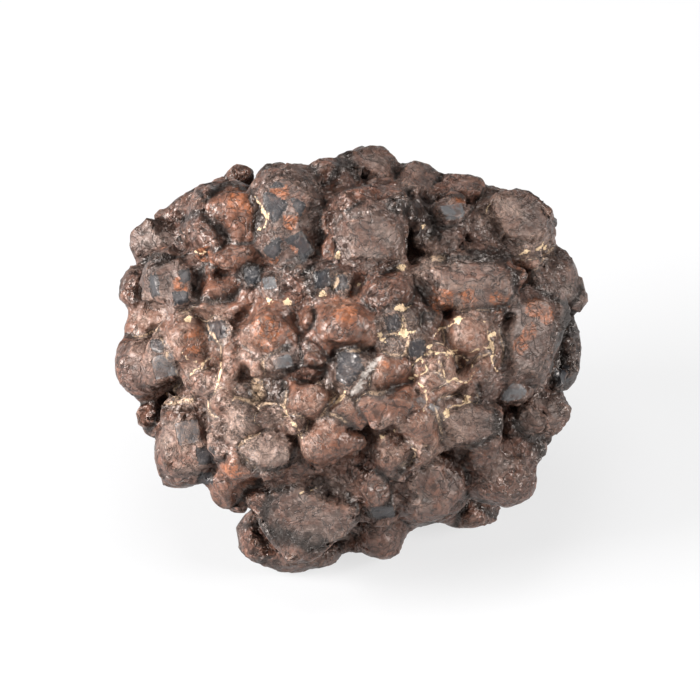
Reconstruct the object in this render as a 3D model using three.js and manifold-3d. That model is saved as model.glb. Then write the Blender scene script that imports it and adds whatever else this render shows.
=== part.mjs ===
// A prophecy stone: a nodule of dark iron oxide that grew as one piece, a tight cluster of knobs,
// blocks and flat-faced crystals with crevices between them. It stands on its lower knobs.
//
// Millimetres, +Z up. The origin is under the middle of the stone, on the surface that it stands on.
// Most of the knobs are placed in the frame of the stone's show face, which leans back: "right" and "up"
// run along that face and "out" points away from it. -Y is the side that the show face looks to.
import * as THREE from "three";
import { ImprovedNoise } from "three/addons/math/ImprovedNoise.js";
import { mergeVertices } from "three/addons/utils/BufferGeometryUtils.js";
import Module from "manifold-3d";

// Driving dimensions
const SHOW_FACE_RISE = 40; // degrees that the show face looks up, above level
const SKIN = [39, 36, 32]; // half sizes of the stone's general outline: right, up and out
const FLOOR = -31; // height of the resting surface, from the middle of the show face's frame
const EDGE_LENGTH = 4.6; // length of a facet's edge on a round knob
const WOBBLE = 0.1; // share by which a knob's radius wanders
const WOBBLE_PITCH = 1.3; // waves of that wander over a knob's radius
const RANDOM_SEED = 11;
const SLIVER = 0.54; // narrowest sliver of a face that is kept where two knobs meet

// The stone's inner bulk, which every knob grows from: right, up, out, then half sizes the same way.
const BULK = [
  [0, 2, 0, 35, 31, 28.5],
  [-21, 8, 0, 15, 18, 14],
  [22, 4, 0, 16, 22, 15],
  [3, 20, 2, 26, 13, 16],
  [5, -17, -3, 22, 15, 14],
  [-3, -29, -4, 11, 6, 8],
  [2, -11, -19.5, 21, 9, 9],
];

// Squareness of a knob, from a ball to a block with narrow round edges
const BALL = 2;
const SOFT = 2.6;
const BLOCKY = 4;
const BLOCK = 7;

// Knobs of the show face: name: right, up, depth of the centre under the skin, half width, half height,
// half depth, twist about "out" in degrees, squareness.
const KNOBS = {
  // Upper rim, from the left
  horn: [-33.2, 20.8, 2, 5.2, 5.1, 5, 38, BLOCK],
  horn_shoulder: [-28.4, 26.4, 2, 3, 3, 4, 0, BALL],
  left_slope: [-24, 28.4, 1, 4.2, 3.2, 5, 20, SOFT],
  bead_on_rim: [-19.3, 32.6, 3, 2.5, 2.5, 2.5, 0, BALL],
  left_crown: [-21.4, 23.6, 5, 7.4, 7.6, 8.4, 0, SOFT],
  left_crown_bulge: [-20.4, 25.6, -0.6, 5.4, 4.4, 4, -8, BALL],
  left_crown_low: [-20.5, 17.6, 3, 5.2, 3.2, 4, 6, SOFT],
  left_crown_side: [-26, 22.8, 2.6, 3.8, 3.8, 4, 0, SOFT],
  crystal_crown: [-11.2, 26, 5, 6.2, 8.6, 7, -12, BLOCKY],
  crystal_crown_top: [-13.4, 31.6, 6, 4.2, 3.2, 5, 0, BALL],
  crystal_crown_side: [-8.6, 31.4, 6, 3.4, 3, 4, -30, SOFT],
  folded_knob: [-5.6, 24, 5, 3, 5.2, 5, 0, SOFT],
  folded_knob_bead: [-3.9, 19.4, 4.5, 1.9, 2.9, 2.5, 0, BALL],
  top_left: [-2.1, 31.1, 6, 5, 4.6, 5, 10, SOFT],
  top_left_tooth: [0, 34.6, 3.5, 2.8, 2.4, 3, 0, BLOCKY],
  summit: [4.1, 34.4, 8, 4.4, 4, 5, 0, SOFT],
  summit_right: [12.1, 31.3, 9, 3.6, 3.4, 4.5, -5, BLOCKY],
  top_middle: [3.9, 21.8, 6.5, 7.7, 7.9, 7, 0, BLOCKY],
  top_middle_rear: [8.9, 27.6, 6, 4.5, 3.4, 5, 0, SOFT],
  right_crown: [20.9, 29.4, 4, 5.4, 3.9, 6, -8, SOFT],
  right_crown_block: [17.5, 23.9, 6.5, 4.3, 5, 5, 15, BLOCKY],
  right_shoulder: [29.1, 23.5, 1, 7.6, 6.3, 8, -20, SOFT],
  right_shoulder_top: [27.3, 28.6, 0, 3.2, 2.3, 4, 0, SOFT],
  right_shoulder_tip: [30.8, 27.8, 1, 3.3, 2.8, 4, -25, SOFT],
  right_shoulder_side: [34.2, 24.4, 2, 3, 3.2, 4, -40, SOFT],
  right_shoulder_low: [35.6, 20.8, 0, 2.2, 3, 4, 0, SOFT],
  shaded_knob: [31.6, 21.8, -9, 2.6, 2.8, 2, 0, SOFT],
  // Right side
  shelf: [20.5, 18, 5, 8.1, 2.1, 5, 0, SOFT],
  grey_block: [21.4, 12, 5.5, 9, 5.6, 6, -6, BLOCK],
  nest: [30.7, 15.7, 6, 4, 3.6, 4, 0, SOFT],
  nest_bead_upper: [32.7, 17.1, -1.8, 1.5, 1.5, 1.5, 0, BALL],
  nest_bead_lower: [33, 14.4, 0.2, 1.8, 1.8, 1.8, 0, BALL],
  right_rim_top: [37.4, 17.8, 0, 3, 2.6, 5, 0, SOFT],
  right_flank: [38, 12.5, 1, 4, 5.4, 7, 20, BLOCKY],
  banded_block: [32.3, 4.1, 6, 5.6, 9, 6, -14, BLOCK],
  right_rear: [38.9, 1.6, 6, 2.9, 6.6, 6, 0, BLOCKY],
  right_knob: [35.4, -9.5, 7, 4, 4.2, 5, 0, SOFT],
  upper_inlet: [26.8, 8.6, 5, 5, 3.4, 4, 20, SOFT],
  middle_inlet: [26.8, 2.3, 5, 3.4, 4.5, 4, 0, SOFT],
  lower_inlet: [27.7, -2.1, 5, 4.1, 2.7, 4, 20, SOFT],
  // Middle
  rosette: [21.1, 3.9, 3.5, 4.7, 4.5, 4, 0, BALL],
  rosette_bead: [16.1, 2, 1.5, 1.6, 1.6, 1.5, 0, BALL],
  rosette_side: [23.2, -1.3, 4, 3.4, 2.9, 3.5, 30, SOFT],
  rosette_foot: [21.4, -4.8, 5, 4.1, 2.3, 3, 15, SOFT],
  brown_plate: [14.6, -2.7, 4, 4.7, 4.1, 4, 0, SOFT],
  brown_plate_ridge: [16.1, -5.9, 4, 4.3, 1.9, 3, 22, SOFT],
  eye_seat: [9.6, 1.6, 5, 3.8, 3.4, 4, 0, SOFT],
  square_knob: [6.8, 11.8, 4.5, 4.5, 3.6, 4, 8, BLOCKY],
  dark_seat: [9, 6.4, 5.5, 4.3, 2.9, 4, 0, SOFT],
  brown_round: [-0.7, 5.5, 4.5, 5.4, 4.9, 4.5, 0, SOFT],
  brown_round_side: [3.6, 7.7, 5, 2.7, 3.8, 3.5, 10, SOFT],
  ring: [-6.2, 6.4, 4.5, 2.5, 2.5, 3, 0, BALL],
  bean: [-15.2, 5.4, 4, 3.8, 4.4, 4, -20, SOFT],
  ledge_upper: [-8, 2.7, 5, 5.6, 2, 4, -35, SOFT],
  ledge_lower: [-6.2, -0.6, 4.5, 5.1, 2, 4, -8, SOFT],
  small_pebble: [-16.1, -1.8, 1.8, 1.8, 3.1, 2, 5, BALL],
  grey_seat: [-11.6, -1.2, 4.5, 3.8, 2.5, 3.5, 0, SOFT],
  big_pebble: [-7.7, -7.1, 2.4, 4.7, 3.3, 3, -4, SOFT],
  veined_slab: [1.8, -2.7, 4.6, 5.1, 4.5, 4, 30, BLOCKY],
  veined_slab_side: [6.8, -1.3, 5, 3.4, 4.5, 4, -10, SOFT],
  low_bridge: [7.5, -8.4, 6, 10.2, 5.2, 6, -8, SOFT],
  low_bridge_left: [-0.9, -9.3, 5.5, 3.6, 3.2, 5, 20, SOFT],
  low_bridge_right: [13.4, -12.9, 5.5, 4.1, 5.2, 5, -10, SOFT],
  recess_grey: [-15.7, 13.4, 8.5, 4.5, 3.8, 5, 0, BLOCKY],
  recess_low: [-10.7, 9.5, 6, 4.1, 2.7, 4, 0, SOFT],
  recess_right: [-5.4, 10.4, 6, 4.5, 2.7, 4, 0, SOFT],
  recess_left: [-19.6, 10.2, 8, 3.8, 3.4, 4, 0, SOFT],
  under_folded: [-3.9, 14.1, 6, 3.8, 3.8, 4, 0, BLOCKY],
  under_top: [2.7, 16, 6, 5.6, 2.5, 4, 0, SOFT],
  crevice_knob: [13.4, 16.6, 6, 4.5, 2.9, 4, 0, SOFT],
  left_centre_top: [-19.6, 4.1, 5, 2.9, 2.9, 3, 0, SOFT],
  left_centre_low: [-19.3, -0.4, 4.5, 2.7, 3.4, 3, 0, SOFT],
  // Left side
  left_block: [-30, 13.9, 4.5, 6.4, 4.6, 6, -10, BLOCK],
  left_rim: [-37.5, 12, -1, 2.8, 4.6, 5, 5, SOFT],
  left_ledge: [-26, 9.6, 5, 7, 3, 5, 10, SOFT],
  left_rim_knob: [-37.3, 5.4, 5, 3, 2.7, 4, 0, BALL],
  left_round: [-28.9, 2.1, 4.5, 5.6, 5, 5, 0, SOFT],
  left_bastion: [-35.6, -1.2, 7, 6.2, 5.8, 7, 25, SOFT],
  left_bead_a: [-21.8, 1.4, 4, 2.3, 2.3, 3, 0, BALL],
  left_bead_b: [-22, -3.6, 4, 2.3, 2.3, 3, 10, SOFT],
  left_bead_c: [-22.3, -7.1, 4, 2.6, 2.3, 3, 0, SOFT],
  left_bead_d: [-28.4, -1.6, 2.5, 1.9, 1.8, 2, 0, BALL],
  left_bead_e: [-25.7, -3.8, 4.5, 2.7, 3.2, 3, 0, BLOCKY],
  left_low_knob: [-29.5, -9.3, 5.5, 4.1, 3.2, 4, 15, BALL],
  left_low_rim: [-34.7, -9.1, 9, 3.2, 4.8, 5, 15, BLOCKY],
  left_low_block: [-28.9, -16.8, 7.5, 5.2, 5.8, 6, 5, BLOCKY],
  left_low_tip: [-30.4, -20.2, 7, 3.3, 3.1, 5, 0, SOFT],
  left_low_crystal_seat: [-25.7, -20.6, 7, 2.6, 2.4, 4, 0, SOFT],
  brown_tooth: [-20.4, -21, 6.5, 4.3, 5.9, 5, 0, SOFT],
  ribbed_tip: [-20, -25.6, 10, 2.2, 2, 4, -30, SOFT],
  mottled_block: [-17, -15.2, 5, 7.5, 5.9, 5, 10, SOFT],
  mottled_wedge: [-13.9, -17.5, 3.5, 4.5, 3.2, 4, 25, BLOCK],
  mottled_top: [-17.9, -8.9, 5, 7, 4.1, 5, 0, SOFT],
  // Lower side
  wedge_bead: [-8.6, -12, 4.5, 2.7, 2.5, 3, 0, SOFT],
  low_left: [-3.6, -14.6, 6, 5.6, 4.5, 5, 0, SOFT],
  low_ball: [7.9, -17.7, 7, 4.7, 4.5, 4, 0, SOFT],
  low_recess: [-10.4, -21.6, 10, 7.9, 3.2, 5, 0, SOFT],
  low_middle: [3.6, -23.2, 10, 5.2, 5.4, 5, -5, BLOCKY],
  low_right: [13.9, -23.3, 11.5, 5.2, 5.7, 6, 0, SOFT],
  low_right_wedge: [19.8, -20.9, 10, 2.1, 4.5, 4, 10, BLOCKY],
  low_right_toe: [18.8, -26.4, 12.3, 2.4, 1.8, 3, 0, SOFT],
  pale_block: [21.4, -12, 5.5, 6.3, 4.7, 5, 5, BLOCKY],
  pale_block_foot: [22.9, -16.4, 7, 4.5, 2.9, 4, 0, SOFT],
  right_low: [27.8, -21.3, 4, 6.3, 5, 6, 10, SOFT],
  right_middle: [30.8, -16.6, 6, 5.4, 3.6, 5, 0, SOFT],
  right_inner: [30.4, -12, 6, 4.3, 3.4, 4, 0, SOFT],
  front_slab: [-7.7, -26.8, 10, 7.9, 7.9, 5, 37, BLOCK],
  // Knobs that it stands on, in front
  front_foot: [-8.8, -34.4, 8, 7.8, 3.8, 7, 6, SOFT],
  front_foot_left: [-15.9, -31.8, 8.4, 3.8, 5, 5, 0, SOFT],
  middle_foot: [5.2, -31.9, 16.6, 4.8, 4.1, 5.4, -20, SOFT],
  right_foot: [22, -27.4, 19.5, 5.6, 3.5, 6, 0, SOFT],
};

// Flat-faced crystals set in the knobs: right, up, depth under the skin, width, height, depth,
// then turns in degrees about "right", "up" and "out".
const CRYSTALS = {
  pale_facet: [-29, -13.4, 2.4, 4.3, 4.6, 4, -8, -14, 8],
  left_facet: [-33.9, -2, -1.2, 3.8, 4.4, 4, 0, -18, -14],
  low_facet: [-25.8, -21.2, 3.6, 2.7, 2.4, 3, 12, -10, 4],
  low_dark_facet: [-26.2, -17.2, 2.6, 3.4, 3.6, 4, 0, -10, 0],
  crown_facet: [-13.4, 26.8, 1.2, 5.2, 5.4, 4, -20, -8, -32],
  crown_facet_right: [-9, 27, 1, 4, 5, 4, -12, 14, -28],
  crown_facet_low: [-10.6, 19.6, 1.4, 7.6, 5.2, 4, 8, 0, 24],
  left_slip: [-35, 13, -2, 2.6, 5, 4, 0, -24, 18],
  left_slip_low: [-29.8, 11.4, 1.4, 4, 2.2, 3, 10, -10, 8],
  dark_crystal: [-24, 5.6, 3, 3.6, 3.2, 4, 0, 10, 20],
  prism: [28, -5.8, 4, 5.6, 3.8, 9, 14, 30, 28],
  twin_facet_left: [12.5, -7.9, 1.6, 2.3, 1.5, 3, 0, 8, -28],
  twin_facet_right: [15, -8.9, 1.6, 2.3, 1.5, 3, 0, 8, -28],
  eye: [11.6, 2.3, 1.2, 3.4, 3.4, 3, 0, 6, 20],
  dark_pair: [8, 6, 2.2, 4.6, 3.2, 4, -12, 0, 8],
  rear_facet: [37.5, -3, 2, 2.8, 2.4, 4, 20, 14, -24],
  under_facet: [6.2, -27.4, 5.4, 5, 2.4, 5, 25, 0, 12],
  recess_facet: [-14, 14, 4.6, 3, 3.6, 4, 0, 0, 10],
  recess_facet_left: [-17.8, 14.1, 4.6, 2.4, 2.8, 4, 0, 0, -14],
  grey_facet: [-12.4, -0.4, 1.8, 4.6, 2.8, 3, -10, 0, 14],
  crevice_crystal: [0.9, 13, 2.6, 2, 3.4, 4, 0, 0, -35],
  tooth_facet: [0.2, 35.1, 1, 3, 2.6, 3, -20, 0, -10],
};

// Hollows between the knobs: right, up, depth under the skin, then half sizes.
const HOLLOWS = {
  hair_pit: [-10.8, 13.5, 3.5, 2.8, 2.2, 4],
  crown_pit: [23, 26.6, -4, 1.7, 2.2, 4],
  crevice: [11, 20.8, 2, 1.7, 4, 6],
  bridge_pit: [6.2, -11.6, 3, 2.8, 1.7, 4],
  low_pit: [3, -14.8, 4, 1.8, 3.6, 7],
  low_slot: [17.2, -17.2, 5, 3, 1.3, 5],
  left_pit: [-37.6, 10, -3.5, 1.4, 1.7, 2.5],
};

// Knobs of the back and the underside, spread evenly over the bulk by a spiral
const BACK = {
  knobs: 92, // spiral points over the whole bulk, of which the back's are used
  limit: -4, // "out" of the nearest of them to the show face
  depth: 16, // "out" below the limit at which they reach their full size
  radius_at_limit: [4, 5.5],
  radius: [5.5, 9],
  sunk: 0.4, // share of its radius that a knob's centre lies inside the bulk
  height_share: [0.7, 1], // a knob's half height against its radius
  thickness_share: [0.8, 1.1], // and its half thickness
  squareness: [BALL, BLOCKY],
  jitter: 0.14, // share of the bulk's half size that a knob strays by
  crystal_every: 6, // every so many knobs, one carries a crystal
  crystal_size: [3.5, 6],
  crystal_rise: 0.55, // share of the knob's radius that a crystal's middle lies above the knob's
  floor_gap: 1.2, // height that knobs other than the feet stay above the resting surface
};

// Knobs that it stands on, behind: x and y from the frame's middle, then half sizes
const REAR_FEET = [
  [-16, 11, 8, 6.5, 6],
  [2, 15, 11, 8, 5.5],
  [18, 9, 7.5, 7.5, 6],
];
const FOOT_CUT = 1; // height worn off flat under each rear foot

const wasm = await Module();
wasm.setup();
const noise = new ImprovedNoise();
const { degToRad, lerp, clamp, seededRandom } = THREE.MathUtils;
seededRandom(RANDOM_SEED); // starts the repeatable stream that later calls draw from

// The show face's frame in the stone's own axes
const rise = degToRad(SHOW_FACE_RISE);
const SHOW_FACE = new THREE.Matrix4().makeBasis(
  new THREE.Vector3(1, 0, 0),
  new THREE.Vector3(0, Math.sin(rise), Math.cos(rise)),
  new THREE.Vector3(0, -Math.cos(rise), Math.sin(rise)),
);

// How far the stone's general outline stands out at a place on the show face
function skinAt(right, up) {
  const inside = 1 - (right / SKIN[0]) ** 2 - (up / SKIN[1]) ** 2;
  return SKIN[2] * Math.sqrt(Math.max(0, inside));
}

// A closed geometry as a solid that can be joined and cut
function solidOf(geometry) {
  geometry.deleteAttribute("normal");
  geometry.deleteAttribute("uv");
  const merged = mergeVertices(geometry);
  return new wasm.Manifold(
    new wasm.Mesh({
      numProp: 3,
      vertProperties: merged.attributes.position.array,
      triVerts: new Uint32Array(merged.index.array),
    }),
  );
}

// A knob about its own centre: a ball drawn towards a block, with a wandering radius
function knobGeometry(half, squareness, place) {
  const radius = (half[0] + half[1] + half[2]) / 3;
  const detail = clamp(Math.round(radius / EDGE_LENGTH), 1, 4);
  const geometry = new THREE.IcosahedronGeometry(1, detail);
  const position = geometry.attributes.position;
  const point = new THREE.Vector3();
  for (let i = 0; i < position.count; i++) {
    point.fromBufferAttribute(position, i).normalize();
    const spread = point.toArray().reduce((sum, c) => sum + Math.abs(c) ** squareness, 0);
    const at = point.clone().multiplyScalar(WOBBLE_PITCH).add(place);
    const reach = spread ** (-1 / squareness) * (1 + WOBBLE * noise.noise(at.x, at.y, at.z));
    point.multiplyScalar(reach).multiply(new THREE.Vector3(...half));
    position.setXYZ(i, point.x, point.y, point.z);
  }
  return geometry;
}

// A matrix in the show face's frame: a place and turns about its axes
function placeOnFace(right, up, out, turnRight, turnUp, turnOut) {
  const turn = new THREE.Euler(degToRad(turnRight), degToRad(turnUp), degToRad(turnOut), "ZYX");
  const local = new THREE.Matrix4().makeRotationFromEuler(turn).setPosition(right, up, out);
  return local.premultiply(SHOW_FACE);
}

function bulkSolid([right, up, out, ...half]) {
  const geometry = knobGeometry(half, BALL, new THREE.Vector3(right, up, out));
  return solidOf(geometry.applyMatrix4(placeOnFace(right, up, out, 0, 0, 0)));
}

function knobSolid([right, up, depth, across, tall, deep, twist, squareness]) {
  const place = new THREE.Vector3(right, up, depth);
  const geometry = knobGeometry([across, tall, deep], squareness, place);
  const out = skinAt(right, up) - depth;
  return solidOf(geometry.applyMatrix4(placeOnFace(right, up, out, 0, 0, twist)));
}

function crystalSolid([right, up, depth, width, height, thickness, ...turns]) {
  const geometry = new THREE.BoxGeometry(width, height, thickness);
  const out = skinAt(right, up) - depth - thickness / 2;
  return solidOf(geometry.applyMatrix4(placeOnFace(right, up, out, ...turns)));
}

function hollowSolid([right, up, depth, ...half]) {
  return knobSolid([right, up, depth, ...half, 0, BALL]);
}

// The back's knobs, and the crystals that some of them carry, at the points of a spiral over the bulk
function backSolids() {
  const solids = [];
  const goldenTurn = Math.PI * (3 - Math.sqrt(5));
  const between = ([low, high]) => lerp(low, high, seededRandom());
  const stray = () => BACK.jitter * (2 * seededRandom() - 1);
  const [right, up, out, ...half] = BULK[0];
  for (let i = 0; i < BACK.knobs; i++) {
    const level = 1 - (2 * i + 1) / BACK.knobs;
    const ring = Math.sqrt(1 - level * level);
    const normal = new THREE.Vector3(
      ring * Math.cos(i * goldenTurn) + stray(),
      ring * Math.sin(i * goldenTurn) + stray(),
      level,
    ).normalize();
    const grown = clamp((BACK.limit - level * half[2]) / BACK.depth, 0, 1);
    const radius = lerp(between(BACK.radius_at_limit), between(BACK.radius), grown);
    const knob = [radius, radius * between(BACK.height_share), radius * between(BACK.thickness_share)];
    const squareness = between(BACK.squareness);
    const turn = new THREE.Euler(Math.PI * seededRandom(), Math.PI * seededRandom(), 0);
    const crystalSize = between(BACK.crystal_size);
    if (level * half[2] > BACK.limit) continue;

    const centre = normal.clone().multiply(new THREE.Vector3(...half));
    centre.add(new THREE.Vector3(right, up, out)).addScaledVector(normal, -BACK.sunk * radius);
    centre.applyMatrix4(SHOW_FACE);
    centre.z = Math.max(centre.z, FLOOR + BACK.floor_gap + radius);
    const matrix = new THREE.Matrix4().makeRotationFromEuler(turn).setPosition(centre);
    solids.push(solidOf(knobGeometry(knob, squareness, centre).applyMatrix4(matrix)));

    if (i % BACK.crystal_every === 0) {
      const outward = normal.clone().transformDirection(SHOW_FACE);
      const seat = centre.clone().addScaledVector(outward, BACK.crystal_rise * radius);
      seat.z = Math.max(seat.z, FLOOR + BACK.floor_gap + crystalSize);
      const box = new THREE.BoxGeometry(crystalSize, crystalSize, crystalSize);
      solids.push(solidOf(box.applyMatrix4(matrix.clone().setPosition(seat))));
    }
  }
  return solids;
}

function rearFootSolid([x, y, ...half]) {
  const centre = new THREE.Vector3(x, y, FLOOR + half[2] - FOOT_CUT);
  const geometry = knobGeometry(half, SOFT, centre);
  return solidOf(geometry.translate(centre.x, centre.y, centre.z));
}

// Everything that is fused, less the hollows and what would reach under the resting surface
function stoneSolid() {
  const grown = [
    ...BULK.map(bulkSolid),
    ...Object.values(KNOBS).map(knobSolid),
    ...backSolids(),
    ...REAR_FEET.map(rearFootSolid),
  ].reduce((whole, solid) => whole.add(solid));
  const hollows = Object.values(HOLLOWS).map(hollowSolid);
  const pitted = hollows.reduce((whole, solid) => whole.subtract(solid), grown);
  const crystals = Object.values(CRYSTALS).map(crystalSolid);
  const faceted = crystals.reduce((whole, solid) => whole.add(solid), pitted);
  return faceted.trimByPlane([0, 0, 1], FLOOR).asOriginal().simplify(SLIVER);
}

// The triangles of a mesh in groups that share no corner
function shellsOf(triangles) {
  const parent = Array.from({ length: Math.max(...triangles) + 1 }, (_, corner) => corner);
  const rootOf = (corner) => {
    while (parent[corner] !== corner) corner = parent[corner] = parent[parent[corner]];
    return corner;
  };
  for (let i = 0; i < triangles.length; i += 3) {
    parent[rootOf(triangles[i])] = rootOf(triangles[i + 1]);
    parent[rootOf(triangles[i])] = rootOf(triangles[i + 2]);
  }
  const shells = new Map();
  for (let i = 0; i < triangles.length; i += 3) {
    const root = rootOf(triangles[i]);
    if (!shells.has(root)) shells.set(root, []);
    shells.get(root).push(...triangles.slice(i, i + 3));
  }
  return [...shells.values()];
}

// The stone's outer surface, standing on the origin's plane with the origin under its middle.
// Gaps that the knobs close off inside the stone are filled, so their surfaces are left out.
function standingGeometry(solid) {
  const mesh = solid.getMesh();
  const outer = shellsOf(mesh.triVerts).reduce((most, shell) => (shell.length > most.length ? shell : most));
  const surface = new THREE.BufferGeometry();
  surface.setAttribute("position", new THREE.BufferAttribute(mesh.vertProperties, 3));
  surface.setIndex(outer);
  const geometry = mergeVertices(surface.toNonIndexed());
  geometry.computeBoundingBox();
  const middle = geometry.boundingBox.getCenter(new THREE.Vector3());
  geometry.translate(-middle.x, -middle.y, -FLOOR);
  geometry.computeVertexNormals();
  return geometry;
}

const ironOxide = new THREE.MeshStandardMaterial({ color: 0x4a3a34, roughness: 0.6, metalness: 0.1 });
const stone = new THREE.Mesh(standingGeometry(stoneSolid()), ironOxide);
stone.name = "stone";

const part = new THREE.Group();
part.add(stone);
export default part;
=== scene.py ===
import math

import bpy
import numpy as np
from mathutils import Matrix, Vector, noise


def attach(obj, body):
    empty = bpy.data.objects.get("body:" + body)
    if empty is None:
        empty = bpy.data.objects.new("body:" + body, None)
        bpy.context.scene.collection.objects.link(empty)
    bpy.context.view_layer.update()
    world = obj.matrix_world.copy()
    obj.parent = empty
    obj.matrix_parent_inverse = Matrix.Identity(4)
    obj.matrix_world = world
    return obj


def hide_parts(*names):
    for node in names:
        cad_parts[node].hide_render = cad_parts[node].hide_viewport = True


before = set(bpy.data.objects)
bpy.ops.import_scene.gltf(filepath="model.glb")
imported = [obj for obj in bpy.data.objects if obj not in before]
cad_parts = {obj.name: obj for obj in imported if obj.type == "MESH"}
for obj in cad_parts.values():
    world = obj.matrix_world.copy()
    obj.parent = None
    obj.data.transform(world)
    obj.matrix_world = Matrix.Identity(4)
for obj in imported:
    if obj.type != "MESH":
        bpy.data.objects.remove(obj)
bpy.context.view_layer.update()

MM = 0.001

# Photograph and camera. Pixels are those of the 700 by 700 frame, and unmarked lengths are in metres.
FRAME_PX = 700
OUTLINE_PX = {"left": 113, "top": 142, "right": 587, "bottom": 574}
PX_PER_MM = 5.6
ELEVATION = math.radians(40)
DISTANCE = 0.9  # from the camera to the stone's middle
FIRST_VIEW_WIDTH = 0.125  # width of the frame at the stone, before the camera is fitted
FIT_ROUNDS = 12
SENSOR_MM = 36

# Fine surface. The seed keeps the noise the same in every run.
SEED = 8
COARSE_VOXEL = 0.65 * MM
FINE_VOXEL = 0.61 * MM
SMOOTHING = 0.15  # share that each corner takes on of its neighbours' mean, at the end

# Relief of the show face, in millimetres
LUMP_RISE = 1.1
LUMP_RISE_BY_SIZE = 0.38  # further rise, as a share of the lump's smaller half size
LUMP_REACH = 1.3  # how far a lump's foot reaches, in its half sizes
BARE_DEPTH = 0.6  # depth of the places that no lump covers
GROOVE_DEPTH = 1.7
GROOVE_WIDTH = 1.3  # difference of height between two lumps at which the groove between them ends
PIT_DEPTH = 0.7
CLOSED_RISE = 3.2  # rise that closes a hollow, in depths of a pit
FRONT_FACE_RISE = 0.9
FRONT_FACE_MOAT = 1.3
BEAD_LIFT = 0.5

# Relief of the sides that the photograph hides, and small relief all over, in millimetres
HIDDEN_KNOB_SIZE = 8.5
HIDDEN_KNOB_SWAY = 0.4  # in sizes of a knob
HIDDEN_KNOB_RISE = 2.08
HIDDEN_KNOB_SUNK = 1.4
LARGE_FACET = 5.0
SMALL_FACET = 2.3
FACET_CUT = 1.2  # most that planing a facet moves the surface
SMALL_KNOB_SIZE = 4.2
SMALL_KNOB_RISE = 0.16
SMALL_KNOB_GROOVE = 0.2
SMALL_KNOB_TILT = 0.8
WAVE_SIZE = 3.4
WAVE_RISE = 0.12
CRACK_SIZE = 5
CRACK_DEPTH = 0.3
WRINKLE_SIZE = 2.6
WRINKLE_RISE = 0.025

# Knobs and blocks of the show face, by colour: the pixel of the middle, half width, half height.
LUMPS = {
    "brown": [
        (190, 207, 15, 15), (215, 190, 18, 9), (241, 173, 13, 13), (205, 230, 20, 20), (270, 173, 17, 10),
        (325, 172, 18, 13), (372, 160, 26, 20), (345, 190, 22, 18), (467, 188, 28, 14), (530, 202, 13, 13),
        (487, 253, 18, 10), (555, 262, 14, 14), (132, 285, 12, 12), (145, 367, 31, 31), (222, 396, 11, 8),
        (205, 383, 13, 13), (180, 392, 13, 8), (387, 290, 24, 15), (425, 295, 13, 12), (440, 348, 8, 7),
        (442, 336, 10, 9), (315, 358, 18, 10), (305, 373, 25, 9), (490, 310, 25, 12), (505, 350, 15, 20),
        (182, 413, 17, 15), (185, 448, 32, 40), (150, 415, 13, 22), (165, 460, 12, 22), (180, 480, 14, 10),
        (298, 425, 12, 12), (395, 460, 22, 22), (285, 482, 30, 15), (375, 490, 20, 20), (382, 540, 23, 21),
        (285, 550, 45, 25), (432, 490, 35, 35), (505, 475, 37, 36), (510, 425, 22, 15), (478, 512, 27, 17),
        (470, 395, 15, 10), (255, 505, 20, 22),
    ],
    "red": [
        (238, 213, 30, 25), (235, 258, 25, 15), (313, 222, 12, 20), (330, 250, 8, 13), (531, 262, 8, 8),
        (535, 278, 9, 9), (513, 265, 9, 9), (516, 280, 11, 11), (210, 285, 26, 18), (215, 305, 30, 12),
        (145, 328, 16, 16), (187, 345, 28, 27), (190, 366, 10, 10), (227, 350, 11, 11), (228, 376, 11, 11),
        (260, 368, 9, 14), (268, 330, 22, 25), (312, 320, 11, 11), (345, 327, 30, 26), (468, 338, 24, 18),
        (419, 368, 9, 9), (436, 366, 10, 8), (449, 368, 10, 13), (432, 382, 17, 9), (445, 394, 16, 8),
        (468, 372, 13, 10), (460, 362, 9, 8), (482, 357, 12, 9), (388, 375, 18, 25), (307, 400, 25, 17),
        (234, 478, 22, 25), (328, 440, 28, 22), (258, 393, 12, 12), (246, 355, 9, 10), (206, 415, 12, 10),
        (345, 415, 20, 15), (385, 400, 30, 15), (425, 430, 20, 22),
    ],
    "grey": [
        (150, 242, 28, 20), (285, 210, 30, 40), (350, 162, 12, 10), (418, 177, 19, 14), (372, 237, 30, 28),
        (450, 213, 20, 13), (433, 235, 8, 8), (452, 234, 12, 10), (515, 218, 35, 28), (470, 258, 40, 8),
        (560, 278, 22, 24), (470, 285, 42, 22), (172, 280, 28, 24), (268, 283, 12, 12), (282, 362, 17, 12),
        (535, 338, 28, 40), (243, 408, 13, 12), (268, 414, 14, 12), (246, 434, 15, 13), (268, 452, 25, 18),
        (308, 518, 40, 28), (468, 425, 30, 20), (545, 415, 24, 22), (382, 512, 13, 8), (350, 505, 8, 12),
        (492, 390, 14, 12), (575, 300, 12, 30),
    ],
    # Dark knobs: dark crystals, and along the furrow from v 262 to 300 also painted shade of that deep
    # furrow.
    "dark": [
        (395, 205, 15, 10), (420, 222, 14, 18), (525, 238, 18, 14), (216, 330, 13, 11), (250, 275, 12, 12),
        (322, 278, 15, 14), (340, 282, 10, 10), (392, 323, 12, 12), (410, 320, 11, 11), (416, 347, 12, 11),
        (350, 368, 20, 25), (565, 350, 18, 36), (262, 395, 25, 12), (540, 452, 18, 18), (300, 262, 14, 10),
        (385, 262, 14, 10), (445, 262, 14, 8), (500, 200, 10, 12), (395, 345, 12, 12), (430, 318, 12, 8),
    ],
}
# Round beads: the pixel of the middle and the half width.
BEADS = [(530, 263, 9.5), (535.5, 279, 8.5)]
# Deep gaps between the knobs: the pixel of the middle and the half width.
PITS = [
    (476, 207, 7), (404, 236, 6), (409, 252, 6), (385, 420, 7), (368, 440, 6), (447, 452, 8), (497, 374, 4),
    (240, 296, 11), (246, 312, 9), (355, 545, 10), (420, 395, 5), (345, 480, 7), (460, 455, 8),
    (350, 262, 6), (300, 345, 6), (165, 322, 6), (212, 500, 8), (405, 515, 6),
]
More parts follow.
